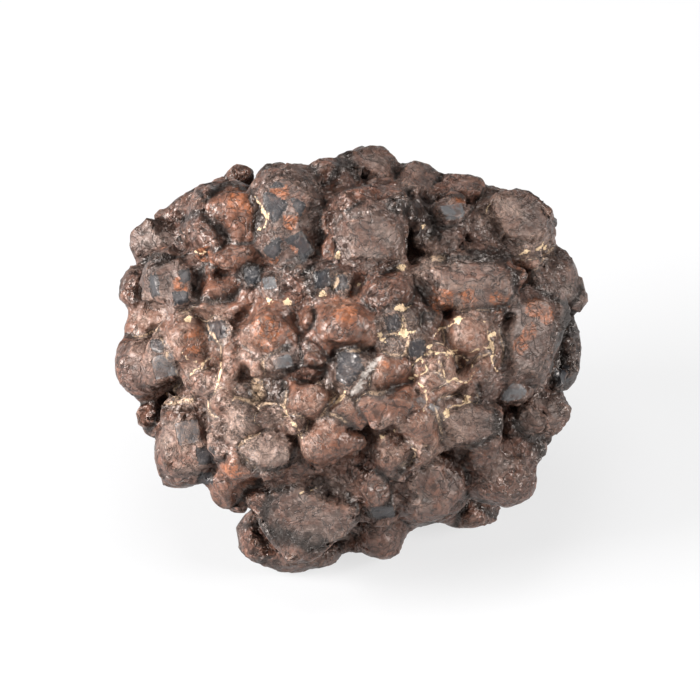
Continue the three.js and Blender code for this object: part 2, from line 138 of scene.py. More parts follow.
# The solid's hollows that the photograph shows narrower, given as pits are.
CLOSED = [
    (290, 283, 13), (138, 302, 12), (365, 440, 10), (384, 428, 14), (277, 348, 10), (520, 266, 16),
    (538, 274, 15),
]
# Flat crystal faces, by the pixels of their corners.
DARK_FACES = [
    [(262, 194), (270, 192), (289, 203), (276, 224), (266, 213)],
    [(291, 196), (307, 204), (300, 218), (293, 206)],
    [(269, 188), (276, 180), (287, 188)],
    [(262, 249), (279, 235), (282, 250), (274, 260), (267, 256)],
    [(283, 240), (302, 230), (315, 250), (302, 264), (297, 248)],
    [(148, 276), (158, 272), (160, 296), (152, 299)],
    [(178, 270), (190, 269), (191, 281), (181, 283)],
    [(172, 292), (187, 290), (189, 302), (174, 305)],
    [(150, 338), (164, 340), (163, 353), (151, 351)],
    [(196, 448), (214, 446), (215, 463), (198, 465)],
    [(197, 473), (213, 472), (213, 487), (198, 489)],
    [(407, 347), (412, 340), (424, 340), (426, 350), (421, 357), (410, 357)],
    [(553, 368), (570, 365), (569, 384), (556, 386)],
    [(370, 508), (393, 505), (395, 517), (374, 520)],
    [(338, 352), (356, 347), (364, 368), (350, 388), (336, 380)],
    [(206, 322), (225, 320), (228, 338), (209, 341)],
    [(384, 316), (398, 314), (402, 328), (388, 334)],
    [(332, 276), (346, 274), (349, 289), (335, 291)],
    [(243, 268), (258, 266), (262, 282), (246, 286)],
    [(313, 272), (329, 269), (332, 287), (316, 289)],
]
PALE_FACES = [
    [(512, 383), (521, 384), (528, 392), (522, 399), (505, 401), (499, 399)],
    [(150, 357), (172, 352), (178, 374), (156, 380)],
    [(174, 423), (197, 419), (201, 441), (179, 446)],
    [(415, 400), (419, 396), (427, 401), (425, 408)],
    [(430, 403), (441, 407), (437, 413), (428, 408)],
    [(272, 358), (290, 354), (294, 366), (276, 370)],
    [(262, 278), (275, 276), (277, 288), (264, 290)],
    [(440, 206), (462, 203), (466, 217), (446, 221)],
]
# Flat sides of blocks, by the pixels of their corners.
FRONT_FACE = [(247, 497), (300, 487), (357, 508), (345, 533), (293, 558), (284, 550)]
PROUD_FACES = [
    [(512, 303), (553, 300), (548, 340), (535, 380), (512, 362), (506, 335)],
    [(432, 270), (488, 263), (503, 270), (513, 285), (470, 290), (440, 288)],
    [(436, 290), (512, 288), (510, 302), (470, 308), (440, 303)],
    [(490, 200), (530, 195), (548, 215), (540, 240), (500, 238)],
    [(434, 205), (462, 200), (470, 216), (448, 226), (436, 220)],
    [(512, 383), (521, 384), (528, 392), (522, 399), (505, 401), (499, 399)],
]
BLOCK_FACES = [
    [(568, 262), (587, 280), (582, 310), (560, 330), (556, 300)],
    [(348, 222), (385, 215), (400, 235), (385, 260), (352, 256)],
    [(126, 232), (160, 225), (178, 240), (165, 258), (140, 255)],
    [(260, 190), (288, 176), (312, 196), (300, 220), (276, 228), (262, 212)],
    [(245, 440), (268, 434), (292, 444), (288, 462), (272, 470), (250, 462)],
    [(440, 418), (468, 405), (498, 415), (490, 435), (455, 442)],
    [(525, 400), (550, 396), (566, 410), (556, 432), (530, 430)],
    [(125, 352), (150, 340), (172, 352), (165, 382), (135, 388)],
    [(165, 425), (200, 415), (215, 440), (208, 470), (175, 475)],
    [(330, 410), (360, 402), (400, 392), (420, 405), (380, 425), (345, 430)],
    [(148, 268), (180, 262), (196, 278), (188, 302), (158, 300)],
    [(402, 170), (420, 164), (436, 176), (428, 190), (406, 190)],
    [(352, 155), (372, 146), (392, 156), (388, 175), (358, 176)],
    [(445, 182), (470, 176), (492, 186), (480, 200), (452, 200)],
    [(365, 528), (385, 520), (402, 532), (396, 556), (370, 555)],
    [(405, 475), (440, 462), (465, 480), (455, 512), (420, 518)],
    [(262, 249), (280, 235), (302, 230), (315, 250), (302, 264), (280, 266), (268, 258)],
]
# Stains: the pixel of the middle and the half width.
ORANGE = [
    (240, 198, 12), (250, 206, 8), (345, 309, 13), (440, 300, 12), (458, 201, 9), (278, 193, 10),
    (290, 222, 9), (180, 285, 9), (265, 332, 15), (195, 338, 12), (234, 470, 10), (530, 330, 8),
    (520, 345, 8), (382, 366, 8), (205, 255, 8), (300, 245, 8), (273, 257, 6), (470, 300, 12),
    (500, 302, 10), (545, 315, 9), (535, 308, 10),
]
DUSTY = [
    (160, 350, 30), (150, 312, 20), (190, 440, 30), (215, 330, 24), (225, 400, 30), (235, 370, 44),
    (205, 365, 26), (300, 425, 34), (468, 345, 36), (440, 355, 30), (330, 400, 26), (395, 335, 26),
    (255, 425, 40), (450, 425, 26), (425, 440, 26), (395, 440, 24), (360, 375, 26), (500, 215, 22),
    (535, 250, 20), (420, 260, 22), (340, 290, 20), (190, 320, 16), (455, 400, 22), (180, 395, 20),
    (440, 380, 30),
]
PALE_GREY = [
    (530, 335, 28), (528, 360, 16), (255, 440, 34), (280, 445, 22), (450, 428, 22), (465, 335, 16),
    (430, 490, 26), (375, 240, 26), (455, 275, 34), (575, 285, 16), (185, 450, 28), (320, 515, 46),
    (150, 245, 22), (505, 475, 26), (385, 490, 20), (510, 215, 26), (540, 410, 18), (375, 165, 14),
    (160, 365, 18), (480, 445, 22), (365, 378, 16), (395, 298, 10),
]
# Cream deposits: blobs as stains are given, and threads by the pixels that they pass.
CREAM_SPOTS = [
    (322, 294, 4), (270, 300, 3), (288, 301, 4), (402, 268, 4), (358, 285, 3), (338, 255, 3), (423, 227, 3),
    (189, 318, 4), (167, 394, 3), (382, 334, 3), (382, 340, 3), (383, 437, 3), (395, 430, 3), (458, 320, 5),
    (483, 323, 2), (493, 335, 3), (491, 345, 3), (493, 355, 3), (430, 348, 3), (450, 353, 4), (405, 333, 5),
    (402, 309, 4), (397, 308, 3), (466, 400, 4), (447, 411, 4), (545, 247, 4), (525, 253, 3),
]
CREAM_THREADS = [
    [(222, 362), (220, 375), (215, 388)],
    [(388, 331), (398, 334), (406, 333), (417, 332)],
    [(401, 318), (404, 328)],
    [(393, 308), (403, 310), (412, 304)],
    [(347, 390), (338, 400), (330, 408)],
    [(283, 405), (290, 418), (297, 428), (302, 438)],
    [(407, 440), (412, 446), (415, 450)],
    [(472, 397), (462, 404), (452, 406), (446, 415), (443, 420)],
    [(300, 492), (310, 491), (318, 488)],
    [(496, 190), (492, 200), (486, 213)],
    [(543, 246), (532, 251), (520, 254)],
    [(195, 250), (201, 253), (207, 252)],
    [(180, 352), (190, 360), (203, 365)],
    [(190, 375), (203, 365), (212, 358)],
    [(412, 364), (424, 356), (432, 352), (446, 352), (458, 350)],
    [(424, 360), (426, 372), (414, 377)],
    [(440, 360), (444, 374), (450, 382), (456, 378)],
    [(410, 378), (420, 384), (427, 394), (426, 402), (424, 412)],
    [(455, 352), (468, 360), (474, 372), (466, 382), (456, 380)],
    [(488, 330), (492, 345), (492, 362), (497, 370)],
    [(433, 338), (440, 328), (452, 324), (465, 318)],
    [(470, 352), (482, 348), (490, 346)],
    [(257, 230), (266, 226), (268, 214)],
    [(254, 196), (262, 206), (266, 220)],
]
WHITE_VEIN = [(380, 358), (370, 368), (362, 380), (355, 392)]

# How each kind of flat face is planed: its rise in millimetres and how flat it gets, from 0 to 1.
PLANING = [
    (BLOCK_FACES, 0.6, 0.85),
    (PROUD_FACES, 0.9, 0.93),
    ([FRONT_FACE], 1.2, 0.95),
    (DARK_FACES + PALE_FACES, 0.25, 1),
]

# Colours of the stone, from 0 to 255
COLOURS = {
    "dark_brown": (62, 42, 36),
    "brown": (94, 67, 58),
    "warm_brown": (112, 73, 58),
    "streak": (40, 28, 24),
    "red_knob": (110, 70, 53),
    "grey_knob": (90, 74, 68),
    "strata": (42, 32, 29),
    # dark crystals, and painted shade of a deep furrow
    "dark_knob_and_furrow_shade": (32, 27, 27),
    "pale_grey": (128, 112, 104),
    "orange": (148, 86, 52),
    "worn_edge": (142, 108, 90),
    "light_fleck": (165, 138, 120),
    "dark_fleck": (24, 17, 15),
    # layer banding, and painted light on the terrace steps
    "layer": (140, 108, 92),
    # dark lines in the layers, and painted shade in the bump's fold valleys
    "layer_line_and_fold_shade": (20, 14, 12),
    "flake": (34, 25, 22),
    "chip": (30, 22, 19),
    # painted shade in the bump's crack grooves
    "crack": (14, 10, 9),
    # painted shade in crevices and in the seams between knobs
    "crevice_shade": (13, 9, 8),
    "dark_face": (40, 42, 46),
    "face_border": (22, 23, 26),
    "pale_face": (88, 90, 92),
    "dust": (172, 142, 126),
    "dust_seam": (208, 176, 146),
    "cream": (224, 194, 156),
    "white_vein": (196, 186, 178),
}
BUMP_HEIGHT = 1.0 * MM

# Studio, in metres and watts: each softbox's place, width and height, and power
SOFTBOXES = {
    "softbox_left": ((-0.85, -0.2, 0.42), (0.5, 0.5), 27),
    "softbox_right": ((0.85, -0.25, 0.38), (0.35, 0.4), 11),
    "softbox_front": ((-0.5, -0.85, 0.3), (0.5, 0.4), 2.5),
    "softbox_top": ((-0.1, 0.1, 0.95), (0.5, 0.4), 5.2),
}
LIGHT_TARGET = (0, 0, 0.035)
WORLD_STRENGTH = 0.1
FLOOR_HALF = 4
FLOOR_GLOW = 0.7


def smooth_step(low, high, value):
    share = np.clip((value - low) / (high - low), 0, 1)
    return share * share * (3 - 2 * share)


class Surface:
    """A mesh as arrays: corner places, edges and faces."""

    def __init__(self, mesh):
        count = len(mesh.vertices)
        self.place = np.empty(count * 3)
        mesh.vertices.foreach_get("co", self.place)
        self.place = self.place.reshape(-1, 3)
        edges = np.empty(len(mesh.edges) * 2, np.int32)
        mesh.edges.foreach_get("vertices", edges)
        self.ends = edges.reshape(-1, 2)
        loops = np.empty(len(mesh.loops), np.int32)
        mesh.loops.foreach_get("vertex_index", loops)
        self.quads = loops.reshape(-1, 4)
        self.degree = np.bincount(self.ends.ravel(), minlength=count).astype(float)

    def near_mean(self, values):
        """The mean of each corner's neighbours' values."""
        flat = values.reshape(len(values), -1)
        first, second = self.ends.T
        total = np.empty_like(flat)
        for column in range(flat.shape[1]):
            total[:, column] = np.bincount(first, flat[second, column], len(flat))
            total[:, column] += np.bincount(second, flat[first, column], len(flat))
        return (total / self.degree[:, None]).reshape(values.shape)

    def blur(self, values, rounds):
        for _ in range(rounds):
            values = 0.5 * values + 0.5 * self.near_mean(values)
        return values

    def normals(self):
        corner = self.place[self.quads]
        face = np.cross(corner[:, 2] - corner[:, 0], corner[:, 3] - corner[:, 1])
        normal = np.zeros_like(self.place)
        for k in range(4):
            for axis in range(3):
                normal[:, axis] += np.bincount(self.quads[:, k], face[:, axis], len(normal))
        return normal / np.maximum(np.linalg.norm(normal, axis=1), 1e-12)[:, None]

    def hollow(self, rounds):
        """How far each corner lies under its surroundings, in mm: above 0 in a crevice."""
        lift = self.blur(self.place, rounds) - self.place
        return np.einsum("ij,ij->i", lift, self.normals()) / MM

    def push(self, height_mm):
        self.place = self.place + self.normals() * height_mm[:, None] * MM

    def write(self, mesh):
        mesh.vertices.foreach_set("co", self.place.ravel())
        mesh.update()


class View:
    """The camera, fitted so that the stone spans the pixels that it spans in the photograph."""

    def __init__(self, points):
        self.right = np.array([1.0, 0.0, 0.0])
        self.up = np.array([0.0, math.sin(ELEVATION), math.cos(ELEVATION)])
        self.back = np.array([0.0, -math.cos(ELEVATION), math.sin(ELEVATION)])
        self.aim = points.mean(axis=0)
        self.focal = FRAME_PX * DISTANCE / FIRST_VIEW_WIDTH
        box = OUTLINE_PX
        for _ in range(FIT_ROUNDS):
            u, v = self.pixels(points)
            self.focal *= (box["right"] - box["left"]) / (u.max() - u.min())
            u, v = self.pixels(points)
            across = (u.max() + u.min() - box["left"] - box["right"]) / 2
            down = (v.max() + v.min() - box["top"] - box["bottom"]) / 2
            self.aim = self.aim + (across * self.right - down * self.up) * DISTANCE / self.focal

    def pixels(self, points):
        offset = points - self.aim
        depth = DISTANCE - offset @ self.back
        u = FRAME_PX / 2 + self.focal * (offset @ self.right) / depth
        v = FRAME_PX / 2 - self.focal * (offset @ self.up) / depth
        return u, v

    def eye(self):
        return self.aim + DISTANCE * self.back

    def facing(self, surface, rounds=12):
        """How far each corner looks at the camera, from 0 to 1."""
        toward = self.eye() - surface.place
        toward /= np.linalg.norm(toward, axis=1)[:, None]
        look = np.einsum("ij,ij->i", surface.blur(surface.normals(), rounds), toward)
        return smooth_step(0.02, 0.3, look)

    def make_camera(self):
        data = bpy.data.cameras.new("camera")
        data.sensor_width = SENSOR_MM
        data.lens = self.focal / FRAME_PX * SENSOR_MM
        data.clip_end = 20
        camera = bpy.data.objects.new("camera", data)
        turn = Matrix((self.right, self.up, self.back)).transposed().to_4x4()
        camera.matrix_world = Matrix.Translation(Vector(self.eye())) @ turn
        bpy.context.scene.collection.objects.link(camera)
        bpy.context.scene.camera = camera


def remeshed(mesh, voxel):
    source = bpy.data.objects.new("remesh", mesh)
    bpy.context.scene.collection.objects.link(source)
    remesh = source.modifiers.new("remesh", "REMESH")
    remesh.mode = "VOXEL"
    remesh.voxel_size = voxel
    graph = bpy.context.evaluated_depsgraph_get()
    fine = bpy.data.meshes.new_from_object(source.evaluated_get(graph))
    bpy.data.objects.remove(source)
    return fine


def rounded(surface):
    """Rounds the solid's facets off while the crevices between the knobs stay narrow."""
    for _ in range(3):
        free = 1 - smooth_step(0.02, 0.08, surface.hollow(3))
        for _ in range(4):
            pull = surface.near_mean(surface.place) - surface.place
            surface.place = surface.place + 0.5 * free[:, None] * pull
    surface.push(-0.8 * surface.blur(smooth_step(0.05, 0.25, surface.hollow(4)), 1))


def field(surface, size_mm, call):
    """A noise of a size at each corner."""
    return np.array([call(Vector(p)) for p in surface.place / (size_mm * MM)])


def swayed(surface, size_mm, reach):
    """The corner places, swayed by noise, in units of a cell's size."""
    places = [Vector(p) for p in surface.place / (size_mm * MM)]
    return [p + reach * noise.noise_vector(p * 0.7) for p in places]


def sways(surface, size_mm):
    """A sway of up to about 1 each way at each corner."""
    return np.array([noise.noise_vector(Vector(p)) for p in surface.place / (size_mm * MM)])


def hidden_knobs(surface):
    """Places in the pattern of the knobs on the sides that the photograph hides."""
    return swayed(surface, HIDDEN_KNOB_SIZE, HIDDEN_KNOB_SWAY)


def cells(points):
    """For each place: the distance to its cell's middle, the gap to the next cell, the height of a
    facet at the cell's own tilt, and a chance value that the whole cell shares."""
    near = np.empty(len(points))
    gap = np.empty(len(points))
    tilt = np.empty(len(points))
    chance = np.empty(len(points))
    for i, p in enumerate(points):
        distance, middle = noise.voronoi(p)
        near[i] = distance[0]
        gap[i] = distance[1] - distance[0]
        key = middle[0] * 37.0
        tilt[i] = (p - middle[0]).dot(2 * noise.cell_vector(key) - Vector((1, 1, 1)))
        chance[i] = noise.cell(key + Vector((5, 5, 5)))
    return near, gap, tilt, chance


def dome(level, power):
    """The height of a dome: 1 in the middle and 0 where the level reaches 1."""
    return np.maximum(1 - level, 0) ** (1 / power)


class Lumps:
    """The show face's knobs in the photograph's pixels: the highest at each corner, and the runner-up."""

    def __init__(self, surface, view):
        self.u, self.v = view.pixels(surface.place)
        self.sway = 7 * sways(surface, 5) + 2.5 * sways(surface, 2.4)
        corners = len(self.u)
        self.first = np.zeros(corners)
        self.second = np.zeros(corners)
        self.height = np.full(corners, -BARE_DEPTH)
        self.kind = np.full(corners, "none", dtype="<U6")
        self.number = np.zeros(corners)
        self.count = 0
        for kind, lumps in LUMPS.items():
            power = 3 if kind in ("grey", "dark") else 2.3
            for lump in lumps:
                self.add(kind, power, *lump)

    def add(self, kind, power, middle_u, middle_v, half_u, half_v):
        small = min(half_u, half_v)
        share = min(1, small / 20)
        turn = 0.7 * small / max(half_u, half_v) * math.sin(1.7 * middle_u + 2.3 * middle_v)
        right = self.u + share * self.sway[:, 0] - middle_u
        below = self.v + share * self.sway[:, 1] - middle_v
        across = (math.cos(turn) * right + math.sin(turn) * below) / (LUMP_REACH * half_u)
        down = (math.cos(turn) * below - math.sin(turn) * right) / (LUMP_REACH * half_v)
        rise = LUMP_RISE + LUMP_RISE_BY_SIZE * small / PX_PER_MM
        height = rise * dome(np.abs(across) ** power + np.abs(down) ** power, power)
        higher = height > self.first
        self.second = np.where(higher, self.first, np.maximum(self.second, height))
        self.first = np.where(higher, height, self.first)
        self.height = np.where(higher, height - (0.4 + 0.28 * share) * rise, self.height)
        self.kind[higher] = kind
        self.count += 1
        self.number[higher] = self.count


def raise_lumps(surface, view):
    """Knobs as the photograph shows them on the show face, and knobs of their own kind elsewhere."""
    front = view.facing(surface)
    lumps = Lumps(surface, view)
    near, _, _, _ = cells(hidden_knobs(surface))
    knob = HIDDEN_KNOB_RISE * dome((near / 0.85) ** 2, 2) - HIDDEN_KNOB_SUNK
    u, v = view.pixels(surface.place)
    stray = 0.4 * field(surface, 3, noise.noise)
    pit = 1 - smooth_step(0.3, 1.2, spot_level(u, v, PITS) + stray)
    pit -= CLOSED_RISE * (1 - smooth_step(0.9, 1.5, spot_level(u, v, CLOSED) + stray))
    groove = GROOVE_DEPTH * (1 - smooth_step(0, GROOVE_WIDTH, lumps.first - lumps.second))
    surface.push(front * (lumps.height - groove - PIT_DEPTH * pit) + (1 - front) * knob)
    edge = face_distance(u, v, FRONT_FACE)
    step = FRONT_FACE_RISE * (1 - smooth_step(-2, 2, edge))
    moat = FRONT_FACE_MOAT * smooth_step(1, 4, edge) * (1 - smooth_step(7, 18, edge))
    surface.push(front * (step - moat))


def patches(surface, size_mm, kin):
    """The number of the patch that each corner belongs to: patches of about a size, each within one knob."""
    middles = np.array([noise.voronoi(p)[1][0] for p in swayed(surface, size_mm, 0.3)])
    keys = np.column_stack([np.round(middles, 3), kin])
    return np.unique(keys, axis=0, return_inverse=True)[1].ravel()


def facet(surface, patch, share):
    """Planes each patch toward its own mean plane."""
    count = np.bincount(patch)[:, None]
    normals = surface.blur(surface.normals(), 3)
    middle = np.column_stack([np.bincount(patch, axis) for axis in surface.place.T]) / count
    lean = np.column_stack([np.bincount(patch, axis) for axis in normals.T])
    lean /= np.maximum(np.linalg.norm(lean, axis=1), 1e-9)[:, None]
    height = np.einsum("ij,ij->i", surface.place - middle[patch], lean[patch])
    height = np.clip(height, -FACET_CUT * MM, FACET_CUT * MM)
    surface.place = surface.place - (share * height)[:, None] * lean[patch]


def roughen(surface, lumps, front):
    """Facets, small knobs, cracks and wrinkles."""
    blocky = surface.blur(np.isin(lumps.kind, ("grey", "dark")).astype(float), 3)
    smooth = surface.blur((lumps.kind == "red").astype(float), 3)
    coarse = 1 - 0.6 * smooth
    knobs = np.array([noise.voronoi(p)[1][0] for p in hidden_knobs(surface)]).round(3)
    kin = np.where((front > 0.5)[:, None], lumps.number[:, None], knobs)
    facet(surface, patches(surface, LARGE_FACET, kin), coarse * (0.7 + 0.2 * blocky))
    near, gap, tilt, _ = cells(swayed(surface, SMALL_KNOB_SIZE, 0.25))
    knob = SMALL_KNOB_RISE * dome((near / 0.9) ** 2, 2)
    knob -= SMALL_KNOB_GROOVE * (1 - smooth_step(0, 0.12, gap))
    surface.push(coarse * ((1 - blocky) * knob + (0.3 + 0.5 * blocky) * SMALL_KNOB_TILT * tilt))
    surface.push(WAVE_RISE * coarse * field(surface, WAVE_SIZE, wavy))
    crack = np.abs(field(surface, CRACK_SIZE, wavy))
    surface.push(-CRACK_DEPTH * coarse * (1 - smooth_step(0, 0.06, crack)))
    facet(surface, patches(surface, SMALL_FACET, kin), coarse * (0.6 + 0.2 * blocky))
    wrinkle = field(surface, WRINKLE_SIZE, ridges)
    wrinkle = (wrinkle - wrinkle.mean()) / wrinkle.std()
    surface.push(WRINKLE_RISE * np.clip(wrinkle, -2.5, 2.5))


def round_beads(surface, view):
    """Small round beads that stand free on the stone."""
    u, v = view.pixels(surface.place)
    front = view.facing(surface, 3) > 0.02
    depth = -(surface.place @ view.back)
    for middle_u, middle_v, half in BEADS:
        level = np.hypot(u - middle_u, v - middle_v) / half
        inside = front & (level < 1)
        inside &= np.abs(depth - np.median(depth[inside])) < 3 * MM
        rise = (half / PX_PER_MM * np.sqrt(1 - level[inside] ** 2) + BEAD_LIFT) * MM
        rise += depth[inside] - np.median(depth[inside])
        surface.place[inside] += rise[:, None] * view.back


def wavy(p):
    """A noise with bent waves."""
    return noise.noise(p + 1.1 * noise.noise_vector(p * 0.8))


def ridges(p):
    """A noise of bent narrow ridges."""
    return noise.ridged_multi_fractal(p + 1.2 * noise.noise_vector(p * 0.5), 1.0, 2.1, 3, 1.0, 2.0)


def spot_level(u, v, spots):
    """The distance from the nearest spot's middle, in its own half widths."""
    level = np.full(len(u), 9.0)
    for middle_u, middle_v, half in spots:
        level = np.minimum(level, np.hypot(u - middle_u, v - middle_v) / half)
    return level


def stretch_distance(u, v, start, end):
    """The distance in pixels from a straight stretch."""
    along = np.array(end, float) - start
    share = ((u - start[0]) * along[0] + (v - start[1]) * along[1]) / (along @ along)
    share = np.clip(share, 0, 1)
    return np.hypot(u - start[0] - share * along[0], v - start[1] - share * along[1])


def thread_distance(u, v, threads):
    """The distance in pixels from the nearest thread."""
    distance = np.full(len(u), 99.0)
    for thread in threads:
        for start, end in zip(thread, thread[1:]):
            distance = np.minimum(distance, stretch_distance(u, v, start, end))
    return distance


def face_distance(u, v, corners):
    """The distance from a face's outline, below 0 inside it."""
    inside = np.zeros(len(u), bool)
    distance = np.full(len(u), 99.0)
    for start, end in zip(corners, corners[1:] + corners[:1]):
        distance = np.minimum(distance, stretch_distance(u, v, start, end))
        crosses = (start[1] > v) != (end[1] > v)
        rise = end[1] - start[1] if end[1] != start[1] else 1e-9
        inside ^= crosses & (u < start[0] + (v - start[1]) / rise * (end[0] - start[0]))
    return np.where(inside, -distance, distance)


def nearest_face(u, v, faces):
    """The distance in pixels from the nearest face's outline, below 0 inside a face."""
    return np.min([face_distance(u, v, corners) for corners in faces], axis=0)


def plane_faces(surface, view, faces, lift_mm, share):
    """Planes the faces flat, each a little proud of the stone."""
    u, v = view.pixels(surface.place)
    front = view.facing(surface, 3) > 0.1
    depth = -(surface.place @ view.back)
    for corners in faces:
        inside = front & (face_distance(u, v, corners) < 1.0)
        if not inside.any():
            continue
        inside &= depth < depth[inside].min() + 6 * MM
        middle = surface.place[inside].mean(axis=0)
        normal = np.linalg.svd(surface.place[inside] - middle, full_matrices=False)[2][2]
        normal *= math.copysign(1, normal @ view.back)
        height = (surface.place[inside] - middle) @ normal
        surface.place[inside] -= (share * height - lift_mm * MM)[:, None] * normal


def paint(mesh, name, values):
    """Keeps a value for each corner, which the material reads by its name."""
    layer = mesh.attributes.new(name, "FLOAT", "POINT")
    layer.data.foreach_set("value", values.astype(np.float32))


def paint_marks(mesh, surface, view):
    """The places of colours, crevices, faces and deposits, for the material."""
    u, v = view.pixels(surface.place)
    away = 1 - view.facing(surface, 6)
    lumps = Lumps(surface, view)
    _, gap, _, chance = cells(hidden_knobs(surface))
    own = {"red": chance > 0.35, "grey": chance < -0.45, "dark": np.abs(chance) < 0.12}
    for kind, share in own.items():
        chosen = np.where(away > 0.5, share, lumps.kind == kind)
        paint(mesh, kind, surface.blur(chosen.astype(float), 2))
    thin = surface.hollow(3)
    wide = surface.hollow(18)
    # crease: how deep each corner lies in a crevice, where the material darkens it as painted shade
    crease = 0.7 * smooth_step(0.06, 0.3, thin) + 0.6 * smooth_step(0.3, 1.1, wide)
    paint(mesh, "crease", np.clip(crease, 0, 1))
    paint(mesh, "ridge", smooth_step(0.04, 0.2, -thin))
    # seam: how near two knobs meet, where the material paints shade and dusty seams
    seam = np.where(lumps.first > 0, lumps.first - lumps.second, 2)
    paint(mesh, "seam", np.where(away > 0.5, 3 * gap, seam))
    paint(mesh, "orange", spot_level(u, v, ORANGE) + 9 * away)
    paint(mesh, "dust", (1 - smooth_step(0.6, 1.3, spot_level(u, v, DUSTY))) * (1 - away))
    paint(mesh, "pale", (1 - smooth_step(0.5, 1.3, spot_level(u, v, PALE_GREY))) * (1 - away))
    planed = nearest_face(u, v, PROUD_FACES + BLOCK_FACES + [FRONT_FACE]) < 0
    planed |= spot_level(u, v, BEADS) < 1
    paint(mesh, "planed", planed * (1 - away))
    paint(mesh, "dark_face", nearest_face(u, v, DARK_FACES) + 40 * away)
    paint(mesh, "pale_face", nearest_face(u, v, PALE_FACES) + 40 * away)
    ragged = sways(surface, 1.6)
    u = u + 3 * ragged[:, 0]
    v = v + 3 * ragged[:, 1]
    paint(mesh, "cream", spot_level(u, v, CREAM_SPOTS) + 9 * away)
    paint(mesh, "thread", thread_distance(u, v, CREAM_THREADS) + 40 * away)
    paint(mesh, "vein", thread_distance(u, v, [WHITE_VEIN]) + 40 * away)


class Nodes:
    """Short calls for building a node tree."""

    def __init__(self, material):
        material.use_nodes = True
        self.tree = material.node_tree
        self.tree.nodes.clear()

    def new(self, kind, **settings):
        node = self.tree.nodes.new(kind)
        for name, value in settings.items():
            setattr(node, name, value)
        return node

    def link(self, source, target):
        self.tree.links.new(source, target)

    def put(self, value, socket):
        if isinstance(value, bpy.types.NodeSocket):
            self.link(value, socket)
        else:
            socket.default_value = value

    def painted(self, name):
        return self.new("ShaderNodeAttribute", attribute_name=name).outputs["Fac"]

    def math(self, operation, first, second=0.0):
        node = self.new("ShaderNodeMath", operation=operation)
        self.put(first, node.inputs[0])
        self.put(second, node.inputs[1])
        return node.outputs[0]

    def times(self, first, second):
        return self.math("MULTIPLY", first, second)

    def plus(self, first, second):
        return self.math("ADD", first, second)

    def minus(self, first, second):
        return self.math("SUBTRACT", first, second)

    def most(self, *values):
        """The highest of the values."""
        highest = values[0]
        for value in values[1:]:
            highest = self.math("MAXIMUM", highest, value)
        return highest

    def ragged(self, value, sway, reach):
        """A value, swayed both ways by a noise."""
        return self.plus(value, self.times(self.minus(sway, 0.5), reach))

    def band(self, value, low, high, out_low=0.0, out_high=1.0):
        """A smooth step from one output to the other as the value goes from low to high."""
        node = self.new("ShaderNodeMapRange", interpolation_type="SMOOTHSTEP")
        self.put(value, node.inputs["Value"])
        if low > high:
            low, high, out_low, out_high = high, low, out_high, out_low
        node.inputs["From Min"].default_value = low
        node.inputs["From Max"].default_value = high
        node.inputs["To Min"].default_value = out_low
        node.inputs["To Max"].default_value = out_high
        return node.outputs["Result"]

    def mix(self, share, first, second):
        node = self.new("ShaderNodeMix", data_type="RGBA")
        self.put(share, node.inputs[0])
        self.put(first, node.inputs[6])
        self.put(second, node.inputs[7])
        return node.outputs[2]

    def noise(self, per_metre, detail=4.0, rough=0.55, warp=0.0, place=None):
        node = self.new("ShaderNodeTexNoise")
        self.link(place or self.place, node.inputs["Vector"])
        node.inputs["Scale"].default_value = per_metre
        node.inputs["Detail"].default_value = detail
        node.inputs["Roughness"].default_value = rough
        node.inputs["Distortion"].default_value = warp
        return node.outputs["Fac"]

    def facets(self, per_metre):
        """Small flat facets at chance tilts: their height in facet widths, and a chance value for each."""
        sway = self.new("ShaderNodeTexNoise")
        self.link(self.place, sway.inputs["Vector"])
        sway.inputs["Scale"].default_value = per_metre
        sway.inputs["Detail"].default_value = 1
        place = self.new("ShaderNodeVectorMath", operation="MULTIPLY_ADD")
        self.link(sway.outputs["Color"], place.inputs[0])
        place.inputs[1].default_value = (0.8 / per_metre, 0.8 / per_metre, 0.8 / per_metre)
        self.link(self.place, place.inputs[2])
        cell = self.new("ShaderNodeTexVoronoi")
        self.link(place.outputs["Vector"], cell.inputs["Vector"])
        cell.inputs["Scale"].default_value = per_metre
        offset = self.new("ShaderNodeVectorMath", operation="SUBTRACT")
        self.link(place.outputs["Vector"], offset.inputs[0])
        self.link(cell.outputs["Position"], offset.inputs[1])
        lean = self.new("ShaderNodeVectorMath", operation="MULTIPLY_ADD")
        self.link(cell.outputs["Color"], lean.inputs[0])
        lean.inputs[1].default_value = (2, 2, 2)
        lean.inputs[2].default_value = (-1, -1, -1)
        tilt = self.new("ShaderNodeVectorMath", operation="DOT_PRODUCT")
        self.link(offset.outputs["Vector"], tilt.inputs[0])
        self.link(lean.outputs["Vector"], tilt.inputs[1])
        chance = self.new("ShaderNodeSeparateColor")
        self.link(cell.outputs["Color"], chance.inputs["Color"])
        return self.times(tilt.outputs["Value"], per_metre), chance.outputs["Red"]


def srgb(red, green, blue):
    def linear(value):
        value /= 255
        return value / 12.92 if value <= 0.04045 else ((value + 0.055) / 1.055) ** 2.4
    return (linear(red), linear(green), linear(blue), 1)


